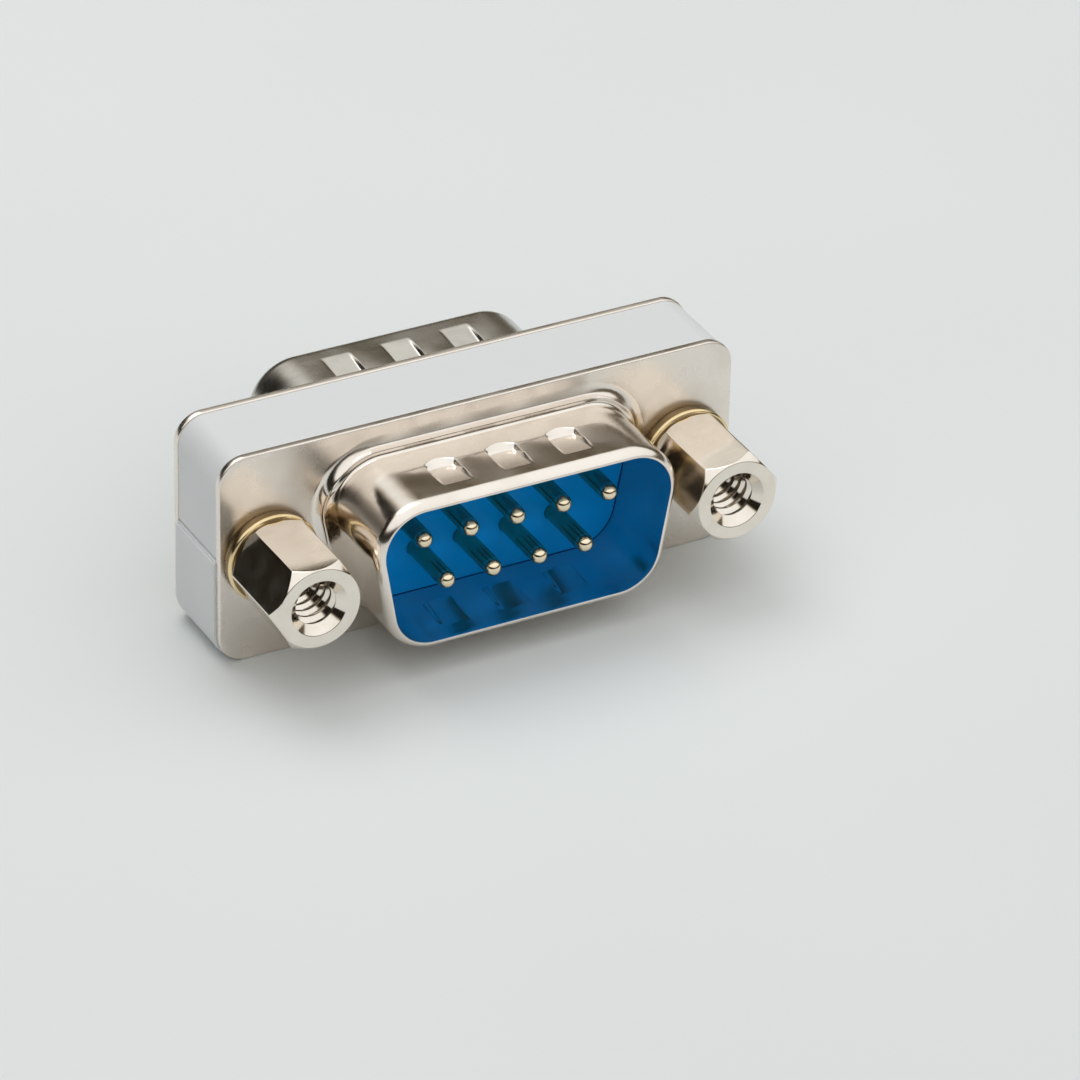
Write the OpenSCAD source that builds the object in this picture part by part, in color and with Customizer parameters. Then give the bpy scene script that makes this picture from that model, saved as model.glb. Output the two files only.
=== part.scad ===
// Slimline nine-way gender changer: two plug connectors back to back in a thin plastic housing.
// X runs along the flanges, the front plug points to -Y, and +Z is up. The origin lies under the
// middle of the whole part, on the surface that it stands on. Sizes are in millimetres.

/* [Flanges] */
// Distance from the widest inside of a shell to a screw axis
screw_gap = 3.92; // [3.92:0.01:4.5]
// Distance from a screw axis to the end of the flange
screw_edge = 2.905; // [2.4:0.005:3.5]
// Height of each flange
flange_h = 12.5; // [12:0.1:14]
// Radius of the flange corners
flange_r = 1.6; // [0.8:0.1:2.4]
// Thickness of the flange sheet
plate_t = 0.45; // [0.35:0.05:0.7]
// Diameter of the screw holes in the flanges
flange_hole_d = 3.1; // [3.05:0.05:3.4]
// Depth of the body, from the front flange's outer face to the rear one's
body_depth = 5.6; // [5.4:0.1:9]

/* [Plug shells] */
// Widest inside width of a shell, on its long side
shell_w = 17.15; // [16.9:0.05:17.3]
// Inside height of a shell
shell_h = 8.3; // [8.1:0.05:8.6]
// Inside corner radius of a shell
shell_r = 2.4; // [2:0.1:2.8]
// Wall thickness of a shell
shell_t = 0.4; // [0.3:0.05:0.45]
// How far a shell stands out from its flange
shell_depth = 5.9; // [5.6:0.1:7]
// Slope of the two short sides, in degrees
shell_slope = 10; // [8:1:12]
// Length of the stretch at the mouth that curves inwards
lip_len = 0.7; // [0.4:0.1:1]
// How far the inner side of the mouth curves inwards
lip_in = 0.1; // [0.08:0.01:0.25]
// How much thinner the wall is at the mouth
lip_thin = 0.2; // [0.05:0.01:0.25]
// Height of the drawn step round the foot of a shell
step_h = 0.5; // [0.3:0.05:0.8]
// Width of the top of that step
step_w = 0.4; // [0.3:0.01:0.5]
// Radius of the hollow fillet between that step and the flange
step_fillet = 0.7; // [0.2:0.05:0.7]
// Size of the bevel where the wall rises from that step
foot_bevel = 0.1; // [0.04:0.02:0.2]

/* [Dimples] */
// Number of contact dimples on each long wall
dimple_count = 3; // [1:1:3]
// Distance between dimples
dimple_pitch = 3.6; // [3:0.05:4]
// Width of a dimple
dimple_w = 1.85; // [1.6:0.05:2.4]
// Length of a dimple's ramp
dimple_len = 2.2; // [1.4:0.1:2.4]
// How far the crescent end of a dimple reaches past its ramp
dimple_crescent = 0.45; // [0.3:0.05:0.7]
// Depth of a dimple
dimple_depth = 0.3; // [0.15:0.05:0.35]
// Distance from the shell's mouth to the start of a dimple's ramp
dimple_from_mouth = 1.3; // [1.1:0.1:2]

/* [Contacts] */
// Diameter of a contact pin
pin_d = 1.02; // [0.96:0.01:1.06]
// Distance between pins along a row
pin_pitch = 2.77; // [2.7:0.01:2.8]
// Distance between the two rows
row_gap = 2.84; // [2.7:0.01:3]
// How far the pin tips lie inside the shell's mouth
tip_recess = 1.05; // [0.6:0.05:1.6]
// Length of a pin's rounded nose
nose_len = 0.6; // [0.4:0.05:0.8]
// Diameter of the collar that seats in the insulator
collar_d = 1.34; // [1.2:0.02:1.5]
// Length of that collar
collar_len = 0.8; // [0.5:0.05:0.95]
// Diameter of a contact's solder tail
tail_d = 0.64; // [0.5:0.02:0.76]
// How far a tail reaches past the circuit board
tail_out = 0.3; // [0.1:0.05:0.45]
// Chamfer at the end of a tail
tail_chamfer = 0.1; // [0.04:0.02:0.16]

/* [Insulators] */
// Height of the insulator's face above the flange's outer face
face_h = 0.75; // [0.4:0.05:1.5]
// Clearance between an insulator and its shell, all round
nose_clear = 0.04; // [0.02:0.01:0.1]
// Thickness of the insulator's back flange
back_t = 1; // [0.8:0.1:1.1]
// How far the insulator's back flange reaches past the inside of the shell
back_lip = 0.85; // [0.7:0.05:0.9]
// Clearance round a contact in its hole, on the radius
pin_clear = 0.01; // [0:0.005:0.03]

/* [Circuit board] */
// Thickness of the circuit board
board_t = 0.8; // [0.6:0.1:1]
// Gap between the circuit board and the housing around it
board_gap = 0.1; // [0.05:0.05:0.4]
// Width of a copper track
track_w = 0.5; // [0.3:0.05:0.6]
// Thickness of the copper
track_t = 0.05; // [0.03:0.01:0.1]
// Diameter of a solder pad
pad_d = 0.9; // [0.8:0.05:1.2]

/* [Housing] */
// How far the housing lies inside the flange edges
housing_inset = 0.06; // [0.02:0.01:0.2]
// How far the sides of the lower half stand out past the flanges
lower_proud = 0.2; // [0:0.02:0.3]
// Depth and height of the relief along the parting line
parting_relief = 0.1; // [0.04:0.02:0.2]
// Width of the ledge inside the housing that holds the insulators' back flanges
shoulder = 0.8; // [0.5:0.05:1]
// Clearance between the housing and what it holds
fit_clear = 0.05; // [0.03:0.01:0.1]
// Thickness of the tongues that locate the two halves
tongue_t = 0.6; // [0.4:0.05:0.7]
// Length of a tongue along Y
tongue_len = 2; // [1:0.1:2.4]
// Height of a tongue
tongue_h = 0.9; // [0.5:0.1:1.2]
// Clearance round a tongue in its slot
tongue_clear = 0.02; // [0.01:0.01:0.05]

/* [Screw hardware] */
// Width of the standoff hexagon across its flats
hex_af = 4.75; // [4.5:0.01:5]
// Length of the standoff hexagon
hex_len = 5.45; // [5:0.05:7]
// Diameter of the round face at each end of the hexagon
hex_face_d = 4.65; // [4.2:0.05:4.7]
// Slope of the chamfers at the ends of the hexagon, in degrees
hex_chamfer_slope = 30; // [20:1:45]
// Angle by which the right standoff's hexagon stops past the left one's, in degrees
hex_turn = 10; // [-30:1:30]
// Diameter of the tapped holes, at the crests of the thread
tapped_d = 2.26; // [2.16:0.01:2.4]
// Depth of the tapped hole in a standoff
tapped_depth = 4.6; // [3:0.1:4.9]
// Diameter of the countersink at the mouth of that hole
countersink_d = 3.3; // [2.9:0.1:3.6]
// Diameter of the standoff's stud, at the root of its thread
stud_d = 2.2; // [2.06:0.01:2.25]
// Length of the stud below the hexagon
stud_len = 3.5; // [2.8:0.1:3.7]
// Outside diameter of the spring washer
washer_od = 5.3; // [4.8:0.1:5.3]
// Inside diameter of the spring washer
washer_id = 2.95; // [2.9:0.05:3.2]
// Thickness of the spring washer
washer_t = 0.7; // [0.5:0.05:0.9]
// Width of the split in the spring washer
washer_split = 0.45; // [0.2:0.05:0.8]
// Slant of that split, in degrees
washer_slant = 30; // [0:5:40]
// Outside diameter of the tapped sleeve between the flanges
sleeve_od = 4.4; // [4:0.1:4.6]
// Diameter of the relief between the sleeve's two tapped ends
relief_d = 2.9; // [2.6:0.1:3]
// Length of that relief
relief_len = 0.5; // [0.2:0.1:1]
// Radial clearance of the sleeve's necks in the flange holes
neck_clear = 0.04; // [0.02:0.01:0.1]
// Outside diameter of the sleeve's rolled rear rim
rim_od = 4; // [3.6:0.1:4.6]
// Height of that rim behind the rear flange
rim_t = 0.25; // [0.15:0.05:0.4]

/* [Hidden] */
TOP_ROW = 5;
BOTTOM_ROW = 4;
CONTACTS = TOP_ROW + BOTTOM_ROW;
front_pin_nodes = ["front_pin_1", "front_pin_2", "front_pin_3", "front_pin_4", "front_pin_5",
                   "front_pin_6", "front_pin_7", "front_pin_8", "front_pin_9"];
rear_pin_nodes = ["rear_pin_1", "rear_pin_2", "rear_pin_3", "rear_pin_4", "rear_pin_5",
                  "rear_pin_6", "rear_pin_7", "rear_pin_8", "rear_pin_9"];

nickel = "#d8cfc4";
bright_nickel = "#c9c1b4";
white_plastic = "#e4e6e6";
blue_plastic = "#0a64a8";
gold = "#d9b25e";
board_green = "#2f6b46";
spring_steel = "#b79a63";
dull_nickel = "#b8b2a6";

$fn = 64;
ARC_STEPS = 6;
// How far joined forms reach into each other
overlap = 0.02;
// How far a cutter reaches past what it cuts
through = 1;
// How far round corners stand proud of the sides between them, so that their faces cross
corner_ease = 0.002;

screw_spacing = shell_w + 2 * screw_gap;
screw_x = screw_spacing / 2;
flange_w = screw_spacing + 2 * screw_edge;
back_w = shell_w + 2 * back_lip;
back_h = shell_h + 2 * back_lip;
board_w = back_w + 2 * (fit_clear - shoulder - board_gap);
board_h = back_h + 2 * (fit_clear - shoulder - board_gap);

axis_z = flange_h / 2;
front_reach = washer_t + hex_len;
rear_reach = shell_depth;
total_depth = front_reach + body_depth + rear_reach;
front_face_y = front_reach - total_depth / 2;
rear_face_y = front_face_y + body_depth;
mid_y = (front_face_y + rear_face_y) / 2;
inner_gap = body_depth - 2 * plate_t;

insulator_back = plate_t + back_t;
board_back = body_depth / 2 + board_t / 2;
tip_h = shell_depth - tip_recess;
neck_d = flange_hole_d - 2 * neck_clear;
hex_corner_d = hex_af / cos(30);

// Points of an arc about [cx, cy], from angle a0 to angle a1
function arc(cx, cy, r, a0, a1, steps = ARC_STEPS) =
    [for (i = [0:steps]) let (a = a0 + (a1 - a0) * i / steps) [cx + r * cos(a), cy + r * sin(a)]];

// Corners of the D outline as [centre x, centre y, first angle, last angle], counter-clockwise
function dee_corners(w, h, r) =
    let (xw = w / 2 - r, y = h / 2 - r, xn = xw - 2 * y * tan(shell_slope))
    [[xw, y, -shell_slope, 90], [-xw, y, 90, 180 + shell_slope],
     [-xn, -y, 180 + shell_slope, 270], [xn, -y, 270, 360 - shell_slope]];

// Corners of a rectangle in the same form
function rect_corners(w, h, r) =
    let (x = w / 2 - r, y = h / 2 - r)
    [[x, y, 0, 90], [-x, y, 90, 180], [-x, -y, 180, 270], [x, -y, 270, 360]];

// Place of contact number k, counted from 1 along the long row and then along the short one
function contact_place(k) =
    k <= TOP_ROW
        ? [(k - (TOP_ROW + 1) / 2) * pin_pitch, row_gap / 2]
        : [(k - TOP_ROW - (BOTTOM_ROW + 1) / 2) * pin_pitch, -row_gap / 2];

// Flat outline with round corners, from a list of corners and their radius
module rounded_outline(corners, r) {
    tangent_points = [for (c = corners) for (a = [c[2], c[3]]) [c[0] + r * cos(a), c[1] + r * sin(a)]];
    polygon(tangent_points);
    for (c = corners) translate([c[0], c[1]]) circle(r = r);
}

// Solid whose side follows a profile all round an outline. The profile's points run from the
// bottom up, each with its distance from a corner's centre and its height.
module profiled_solid(corners, profile) {
    count = len(corners);
    low = profile[0][1];
    high = profile[len(profile) - 1][1];
    eased = [for (p = profile) [p[0] + corner_ease, p[1]]];
    translate([0, 0, low]) linear_extrude(high - low) polygon([for (c = corners) [c[0], c[1]]]);
    for (i = [0:count - 1]) {
        here = corners[i];
        next = corners[(i + 1) % count];
        side = norm([next[0] - here[0], next[1] - here[1]]);
        translate([here[0], here[1], 0]) {
            rotate_extrude() polygon(concat([[0, low]], eased, [[0, high]]));
            rotate(here[3]) translate([0, side, 0]) rotate([90, 0, 0]) linear_extrude(side)
                polygon(concat([[-through, low]], profile, [[-through, high]]));
        }
    }
}

// A connector frame has its plane on the flange's outer face and z along the mating direction
module on_front() translate([0, front_face_y, axis_z]) rotate([90, 0, 0]) children();
module on_rear() translate([0, rear_face_y, axis_z]) rotate([-90, 0, 0]) children();

// Curve of the lip, from the straight wall at distance x to the mouth, which it moves in by inset
function lip_arc(x, inset) =
    let (r = (pow(lip_len, 2) + pow(inset, 2)) / (2 * inset))
    arc(x - r, shell_depth - lip_len, r, 0, asin(lip_len / r));

// The same points with the last stretch made twice as long
function run_on(points) =
    let (n = len(points) - 1)
    [for (i = [0:n]) i < n ? points[i] : 2 * points[n] - points[n - 1]];

// Outer profile of the drawn wall: hollow fillet, step, straight wall and lip, past the mouth
function outer_profile() =
    let (wall = shell_r + shell_t, crest = wall + step_w,
         turn = acos(max(0, 1 - step_h / step_fillet)),
         flare = crest + step_fillet * sin(turn))
    concat([[flare, -plate_t]], arc(flare, step_fillet, step_fillet, 270, 270 - turn),
           step_fillet < step_h ? [[crest, step_h]] : [],
           [[wall + foot_bevel, step_h], [wall, step_h + foot_bevel]],
           run_on(lip_arc(wall, lip_in + lip_thin)));

// Inner profile of the drawn wall, past the mouth and behind the flange
function inner_profile() =
    concat([[shell_r, -plate_t - through]], run_on(lip_arc(shell_r, lip_in)));

// Wedge of one dimple, its ramp rising towards +y from depth d, with a crescent end wall
module dimple_wedge(d, above) {
    half = dimple_w / 2;
    rim_r = (pow(half, 2) + pow(dimple_crescent, 2)) / (2 * dimple_crescent);
    spread = asin(half / rim_r);
    rim = arc(0, -dimple_len - dimple_crescent + rim_r, rim_r, 270 - spread, 270 + spread);
    ring = concat([[half, 0], [-half, 0]], rim);
    n = len(ring);
    points = concat([for (p = ring) [p[0], p[1], above]], [for (p = ring) [p[0], p[1], 0]],
                    [[-half, -dimple_len, -d], [half, -dimple_len, -d]]);
    left = 2 * n;
    right = left + 1;
    middle = n + 2 + floor(len(rim) / 2);
    polyhedron(points, concat(
        [[for (i = [0:n - 1]) i]],
        [for (i = [0:n - 1]) [i, n + i, n + (i + 1) % n, (i + 1) % n]],
        [[n, right, left, n + 1], [n + 1, left, n + 2], [n, 2 * n - 1, right]],
        [for (i = [n + 2:middle - 1]) [i, left, i + 1]],
        [[middle, left, right]],
        [for (i = [middle:2 * n - 2]) [i, right, i + 1]]));
}

// Lays dimples on a long wall, or on a short wall when side is -1, at a distance from the midplane
module each_dimple(side, from_middle) {
    for (i = [0:dimple_count - 1])
        translate([(i - (dimple_count - 1) / 2) * dimple_pitch, side * from_middle,
                   shell_depth - dimple_from_mouth])
            if (side > 0) mirror([0, 1, -1]) children();
            else rotate([90, 0, 0]) children();
}

// Flange sheet with its screw holes
module flange_sheet() {
    translate([0, 0, -plate_t]) linear_extrude(plate_t) difference() {
        rounded_outline(rect_corners(flange_w, flange_h, flange_r), flange_r);
        for (side = [-1, 1]) translate([side * screw_x, 0]) circle(d = flange_hole_d);
    }
}

// One plug shell with its flange, drawn from a single sheet and dimpled on both long walls
module plug_shell() {
    corners = dee_corners(shell_w, shell_h, shell_r);
    outer_middle = shell_h / 2 + shell_t;
    difference() {
        union() {
            flange_sheet();
            profiled_solid(corners, outer_profile());
        }
        profiled_solid(corners, inner_profile());
        translate([0, 0, shell_depth + through]) cube([flange_w, flange_h, 2 * through], center = true);
        for (side = [-1, 1]) each_dimple(side, outer_middle) dimple_wedge(dimple_depth, overlap);
    }
    for (side = [-1, 1]) each_dimple(side, shell_h / 2) dimple_wedge(dimple_depth, overlap);
}

// One insulator with its counterbored contact holes
module plug_insulator() {
    nose_r = shell_r - nose_clear;
    nose = dee_corners(shell_w - 2 * nose_clear, shell_h - 2 * nose_clear, nose_r);
    difference() {
        union() {
            translate([0, 0, -plate_t - overlap]) linear_extrude(face_h + plate_t + overlap)
                rounded_outline(nose, nose_r);
            translate([0, 0, -insulator_back]) linear_extrude(back_t)
                rounded_outline(rect_corners(back_w, back_h, shell_r), shell_r);
        }
        for (k = [1:CONTACTS]) translate(contact_place(k)) {
            cylinder(d = pin_d + 2 * pin_clear, h = 2 * shell_depth, center = true);
            translate([0, 0, -insulator_back - through])
                cylinder(d = collar_d + 2 * pin_clear, h = back_t + through);
        }
    }
}

// One turned contact: round-nosed pin, collar and solder tail
module contact() {
    tail_end = -(board_back + tail_out);
    nose = [for (p = arc(0, 0, 1, 0, 90)) [p[0] * pin_d / 2, tip_h - nose_len + p[1] * nose_len]];
    rotate_extrude() polygon(concat(
        [[0, tail_end], [tail_d / 2 - tail_chamfer, tail_end], [tail_d / 2, tail_end + tail_chamfer]],
        [[tail_d / 2, -plate_t - collar_len], [collar_d / 2, -plate_t - collar_len]],
        [[collar_d / 2, -plate_t], [pin_d / 2, -plate_t]], nose));
}

// Circuit board in the body's middle, with a plated hole for each tail and a track for each pair
module circuit_board() color(board_green) translate([0, mid_y, axis_z]) rotate([90, 0, 0])
difference() {
    union() {
        translate([-board_w / 2, -board_h / 2, -board_t / 2]) cube([board_w, board_h, board_t]);
        for (k = [1:CONTACTS]) translate([contact_place(k)[0], 0, 0]) {
            translate([-track_w / 2, -row_gap / 2, 0]) cube([track_w, row_gap, board_t / 2 + track_t]);
            for (end = [-1, 1]) translate([0, end * row_gap / 2, 0])
                cylinder(d = pad_d, h = board_t + 2 * track_t, center = true);
        }
    }
    for (k = [1:CONTACTS], end = [-1, 1])
        translate([contact_place(k)[0], end * row_gap / 2, 0])
            cylinder(d = tail_d + 2 * pin_clear, h = 2 * board_t, center = true);
}

// Outline of the housing between the flanges, with the sides moved out by a given amount
module housing_outline(proud, shrink = 0) {
    w = flange_w - 2 * housing_inset + 2 * proud - 2 * shrink;
    h = flange_h - 2 * housing_inset - 2 * shrink;
    rounded_outline(rect_corners(w, h, flange_r), flange_r);
}

// Hollow that the two housing halves enclose: insulator flanges, board space and sleeve channels
module housing_hollow() {
    rim = back_t + plate_t;
    wide = [back_w + 2 * fit_clear, back_h + 2 * fit_clear];
    mid = [wide[0] - 2 * shoulder, wide[1] - 2 * shoulder];
    translate([-mid[0] / 2, -mid[1] / 2, 0]) cube([mid[0], mid[1], body_depth]);
    for (z = [0, body_depth - rim])
        translate([0, 0, z]) linear_extrude(rim)
            rounded_outline(rect_corners(wide[0], wide[1], shell_r), shell_r);
    for (side = [-1, 1]) translate([side * screw_x, 0, 0])
        cylinder(d = sleeve_od + 2 * fit_clear, h = body_depth);
}

// Tongues on the parting plane, between the cavity and the sleeves, grown by a clearance
module tongues(clear) {
    middle = ((back_w / 2 - shoulder) + (screw_x - sleeve_od / 2)) / 2;
    for (side = [-1, 1])
        translate([side * middle - tongue_t / 2 - clear, -overlap, body_depth / 2 - tongue_len / 2 - clear])
            cube([tongue_t + 2 * clear, tongue_h + clear + overlap, tongue_len + 2 * clear]);
}

// Band across the housing, from one height above the parting plane to another
module band(from, to) translate([-flange_w, from]) square([2 * flange_w, to - from]);

// One half of the housing, above the parting plane, relieved along that plane
module housing_half(proud) difference() {
    translate([0, 0, plate_t]) linear_extrude(inner_gap) {
        intersection() {
            housing_outline(proud);
            band(parting_relief, flange_h);
        }
        intersection() {
            housing_outline(proud, parting_relief);
            band(0, flange_h / 4);
        }
    }
    housing_hollow();
}

// The body's frame has its plane on the front flange's outer face and z towards the rear
module in_body() translate([0, front_face_y, axis_z]) rotate([-90, 0, 0]) mirror([0, 1, 0]) children();

module housing_upper() color(white_plastic) in_body() difference() {
    housing_half(0);
    tongues(tongue_clear);
}

module housing_lower() color(white_plastic) in_body() {
    mirror([0, 1, 0]) housing_half(lower_proud);
    tongues(0);
}

// Hexagonal standoff: chamfered hexagon tapped from its free end, with a stud at the other
module standoff(side) color(bright_nickel) on_front() translate([side * screw_x, 0, 0]) {
    rise = (hex_corner_d - hex_face_d) / 2 * tan(hex_chamfer_slope);
    top = washer_t + hex_len;
    sink = (countersink_d - tapped_d) / 2;
    difference() {
        union() {
            rotate((side + 1) / 2 * hex_turn) intersection() {
                translate([0, 0, washer_t]) cylinder(d = hex_corner_d, h = hex_len, $fn = 6);
                rotate_extrude() polygon([[0, washer_t], [hex_face_d / 2, washer_t],
                    [hex_corner_d / 2, washer_t + rise], [hex_corner_d / 2, top - rise],
                    [hex_face_d / 2, top], [0, top]]);
            }
            translate([0, 0, washer_t - stud_len]) cylinder(d = stud_d, h = stud_len + overlap);
        }
        translate([0, 0, top - tapped_depth]) cylinder(d = tapped_d, h = tapped_depth + through);
        translate([0, 0, top - sink]) cylinder(d1 = tapped_d, d2 = countersink_d + 2 * sink, h = 2 * sink);
    }
}

// Spring washer, split once on its lower side by a slanting cut
module spring_washer(side) color(spring_steel) on_front() translate([side * screw_x, 0, 0])
difference() {
    cylinder(d = washer_od, h = washer_t);
    cylinder(d = washer_id, h = 4 * washer_t, center = true);
    translate([0, -washer_od / 2, washer_t / 2]) rotate([0, washer_slant, 0])
        cube([washer_split, washer_od / 2, 4 * washer_t], center = true);
}

// Sleeve between the flanges, tapped from both ends: a neck in each screw hole and a rolled rim
module tapped_sleeve(side) color(dull_nickel) in_body() translate([side * screw_x, 0, 0]) {
    bore_r = tapped_d / 2;
    relief = [body_depth / 2 - relief_len / 2, body_depth / 2 + relief_len / 2];
    rotate_extrude() polygon(concat(
        [[relief_d / 2, relief[1]], [relief_d / 2, relief[0]], [bore_r, relief[0]], [bore_r, overlap]],
        [[neck_d / 2, overlap], [neck_d / 2, plate_t], [sleeve_od / 2, plate_t]],
        [[sleeve_od / 2, body_depth - plate_t], [neck_d / 2, body_depth - plate_t]],
        [[neck_d / 2, body_depth]],
        arc(rim_od / 2 - rim_t, body_depth, rim_t, 0, 90),
        [[bore_r + rim_t, body_depth + rim_t], [bore_r, body_depth], [bore_r, relief[1]]]));
}

module front_pin(k) color(gold) on_front() translate(contact_place(k)) contact();
module rear_pin(k) color(gold) on_rear() translate(contact_place(k)) contact();

module front_shell() color(nickel) on_front() plug_shell();
module rear_shell() color(nickel) on_rear() plug_shell();
module front_insulator() color(blue_plastic) on_front() plug_insulator();
module rear_insulator() color(blue_plastic) on_rear() plug_insulator();

housing_upper();
housing_lower();
front_shell();
rear_shell();
front_insulator();
rear_insulator();
circuit_board();
standoff(-1);  // standoff_left
standoff(1);  // standoff_right
spring_washer(-1);  // spring_washer_left
spring_washer(1);  // spring_washer_right
tapped_sleeve(-1);  // tapped_sleeve_left
tapped_sleeve(1);  // tapped_sleeve_right
for (k = [1:CONTACTS]) front_pin(k);
for (k = [1:CONTACTS]) rear_pin(k);
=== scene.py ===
"""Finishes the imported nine-way gender changer: smooth sheet metal, threads, edges, materials and studio."""

from __future__ import annotations

import logging
import math
from collections.abc import Callable, Iterable, Sequence
from dataclasses import dataclass
from enum import Enum

import bmesh
import bpy
from mathutils import Matrix, Quaternion, Vector
from mathutils.geometry import intersect_point_line


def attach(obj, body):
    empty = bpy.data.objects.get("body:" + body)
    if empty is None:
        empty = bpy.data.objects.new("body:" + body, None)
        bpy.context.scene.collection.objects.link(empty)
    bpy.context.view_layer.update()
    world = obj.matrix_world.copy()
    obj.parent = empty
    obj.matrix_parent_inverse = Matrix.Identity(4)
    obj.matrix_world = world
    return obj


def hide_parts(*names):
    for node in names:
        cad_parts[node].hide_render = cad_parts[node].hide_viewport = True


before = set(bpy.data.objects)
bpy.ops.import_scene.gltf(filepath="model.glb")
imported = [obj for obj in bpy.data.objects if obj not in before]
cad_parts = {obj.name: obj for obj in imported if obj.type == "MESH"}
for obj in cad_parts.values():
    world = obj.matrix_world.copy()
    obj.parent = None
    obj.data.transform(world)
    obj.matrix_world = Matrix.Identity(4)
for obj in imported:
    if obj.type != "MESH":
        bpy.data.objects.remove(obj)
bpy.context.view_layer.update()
log = logging.getLogger("gender_changer")

MM = 0.001
WELD = 1e-4
Point = tuple[float, float]
Corner = tuple[float, float, float, float]
Socket = bpy.types.NodeSocket


# ---------------------------------------------------------------- materials


def linear(code: str) -> tuple[float, float, float, float]:
    """Turns an sRGB hex colour into a linear one.

    Args:
        code: the colour as "#rrggbb".

    Returns:
        Red, green, blue and an alpha of 1.
    """
    channels = [int(code[i : i + 2], 16) / 255 for i in (1, 3, 5)]
    low = [c / 12.92 if c <= 0.04045 else ((c + 0.055) / 1.055) ** 2.4 for c in channels]
    return (low[0], low[1], low[2], 1.0)


def add(
    tree: bpy.types.NodeTree,
    kind: str,
    settings: dict[str | int, object] | None = None,
    links: dict[str | int, Socket] | None = None,
) -> bpy.types.Node:
    """Adds one node.

    Args:
        tree: the node tree that it goes into.
        kind: Blender's name for the type of node.
        settings: values for the node's own properties, or for its inputs by name or number.
        links: sockets to join to its inputs, by input name or number.

    Returns:
        The new node.
    """
    node = tree.nodes.new(kind)
    for name, value in (settings or {}).items():
        if isinstance(name, str) and hasattr(node, name):
            setattr(node, name, value)
        else:
            node.inputs[name].default_value = value
    for name, socket in (links or {}).items():
        tree.links.new(socket, node.inputs[name])
    return node


def per_mm(size: float) -> float:
    """Noise scale, in metres of Object space, whose features are about this many millimetres."""
    return 1.0 / (size * MM)


@dataclass(frozen=True)
class NickelPlatedSteel:
    """Drawn steel sheet with a bright nickel plate over it.

    Nickel gives the eye a warm grey mirror that the fine grain of the drawn sheet softens.
    """

    name: str
    tint: str = "#f0e8df"
    stain: str = "#dacfc3"
    roughness: float = 0.3
    unevenness: float = 0.08
    grain_mm: float = 0.12
    grain_depth_mm: float = 0.0016
    wave_mm: float = 2.6
    wave_depth_mm: float = 0.004
    foot_roughness: float = 0.0

    def build(self) -> bpy.types.Material:
        """Makes the material.

        Returns:
            The nickel finish.
        """
        material, tree, shader = principled(self.name)
        where = add(tree, "ShaderNodeTexCoord").outputs["Object"]
        cloud = add(tree, "ShaderNodeTexNoise", {"Scale": per_mm(self.wave_mm), "Detail": 3.0}, {"Vector": where})
        tone = add(
            tree,
            "ShaderNodeMix",
            {"data_type": "RGBA", 6: linear(self.tint), 7: linear(self.stain)},
            {0: add(tree, "ShaderNodeMapRange", {1: 0.45, 2: 0.8, 3: 0.0, 4: 0.5}, {0: cloud.outputs[0]}).outputs[0]},
        )
        grain = add(tree, "ShaderNodeTexNoise", {"Scale": per_mm(self.grain_mm), "Detail": 2.0}, {"Vector": where})
        rough = add(
            tree,
            "ShaderNodeMapRange",
            {1: 0.3, 2: 0.7, 3: self.roughness - self.unevenness, 4: self.roughness + self.unevenness},
            {0: cloud.outputs[0]},
        )
        # The die drags on the sheet where it flares out of the flange, so it is duller at its foot.
        place = add(tree, "ShaderNodeSeparateXYZ", {}, {0: where})
        middle = (BODY.front_face + BODY.rear_face) / 2 * MM
        half = (BODY.rear_face - BODY.front_face) / 2 * MM
        along = add(tree, "ShaderNodeMath", {"operation": "SUBTRACT", 1: middle}, {0: place.outputs[1]}).outputs[0]
        along = add(tree, "ShaderNodeMath", {"operation": "ABSOLUTE"}, {0: along}).outputs[0]
        aside = add(tree, "ShaderNodeMath", {"operation": "ABSOLUTE"}, {0: place.outputs[0]}).outputs[0]
        foot = add(
            tree,
            "ShaderNodeMath",
            {"operation": "MULTIPLY"},
            {0: smooth_ramp(tree, along, half + 0.6 * MM, half + 0.2 * MM), 1: smooth_ramp(tree, aside, 8 * MM, 6 * MM)},
        )
        duller = {"operation": "MULTIPLY_ADD", 1: self.foot_roughness}
        rough = add(tree, "ShaderNodeMath", duller, {0: foot.outputs[0], 2: rough.outputs[0]})
        waves = add(
            tree,
            "ShaderNodeBump",
            {"Strength": 1.0, "Distance": self.wave_depth_mm * MM},
            {"Height": cloud.outputs[0]},
        )
        fine = add(
            tree,
            "ShaderNodeBump",
            {"Strength": 1.0, "Distance": self.grain_depth_mm * MM},
            {"Height": grain.outputs[0], "Normal": waves.outputs[0]},
        )
        shader.inputs["Metallic"].default_value = 1.0
        tree.links.new(tone.outputs[2], shader.inputs["Base Color"])
        tree.links.new(rough.outputs[0], shader.inputs["Roughness"])
        tree.links.new(fine.outputs[0], shader.inputs["Normal"])
        return material


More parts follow.
